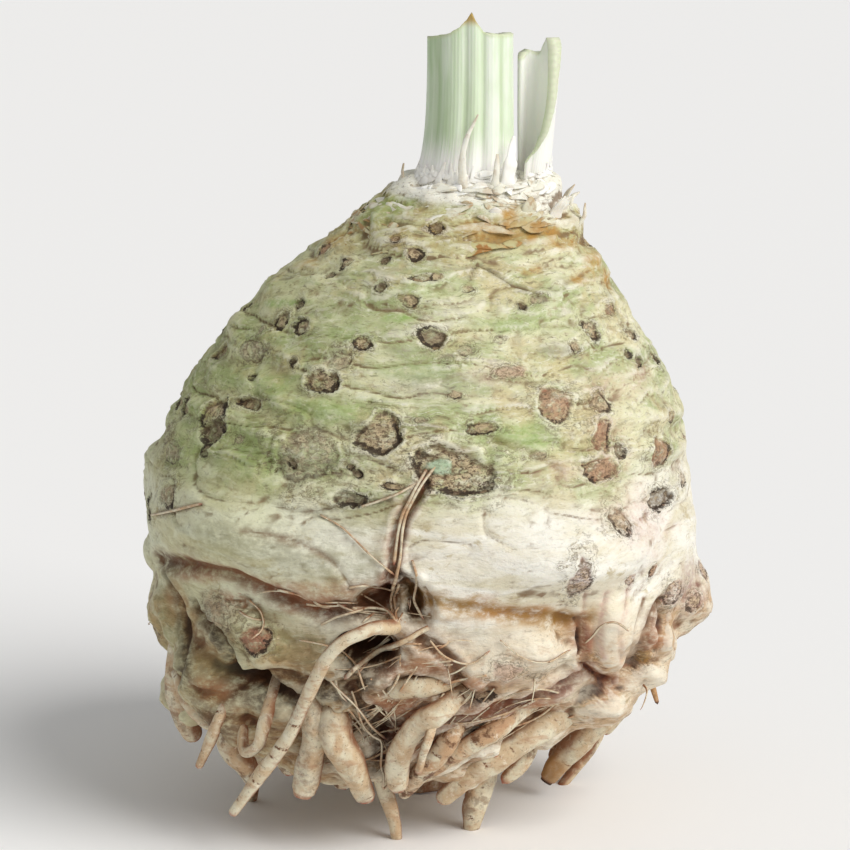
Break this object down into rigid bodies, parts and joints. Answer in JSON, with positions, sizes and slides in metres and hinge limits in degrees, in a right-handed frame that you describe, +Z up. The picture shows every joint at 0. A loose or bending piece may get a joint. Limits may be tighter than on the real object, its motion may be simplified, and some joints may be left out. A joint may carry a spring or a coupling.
{
  "type": "celeriac root",
  "caption": "Whole raw celeriac: swollen, ringed and scarred root body with knotted side roots below and cut leaf stalks on its crown.",
  "frame": {"origin": "centre of the plan outline, on the surface that the cut taproot and the lowest root ends stand on", "axes": "+Z up through the crown to the cut leaf stalks, -Y towards the side with the most tangled roots, +X to the right when seen from that side"},
  "size_m": [0.1266, 0.1257, 0.1785],
  "materials": {
    "root_skin": "rough, dry vegetable skin",
    "leaf_stalk": "smooth, slightly waxy leaf stalk"
  },
  "bodies": {
    "root": {"root_body": "root_skin", "stalk_front": "leaf_stalk", "stalk_right": "leaf_stalk", "stalk_back": "leaf_stalk", "heart_shoot": "leaf_stalk"}
  },
  "joints": []
}
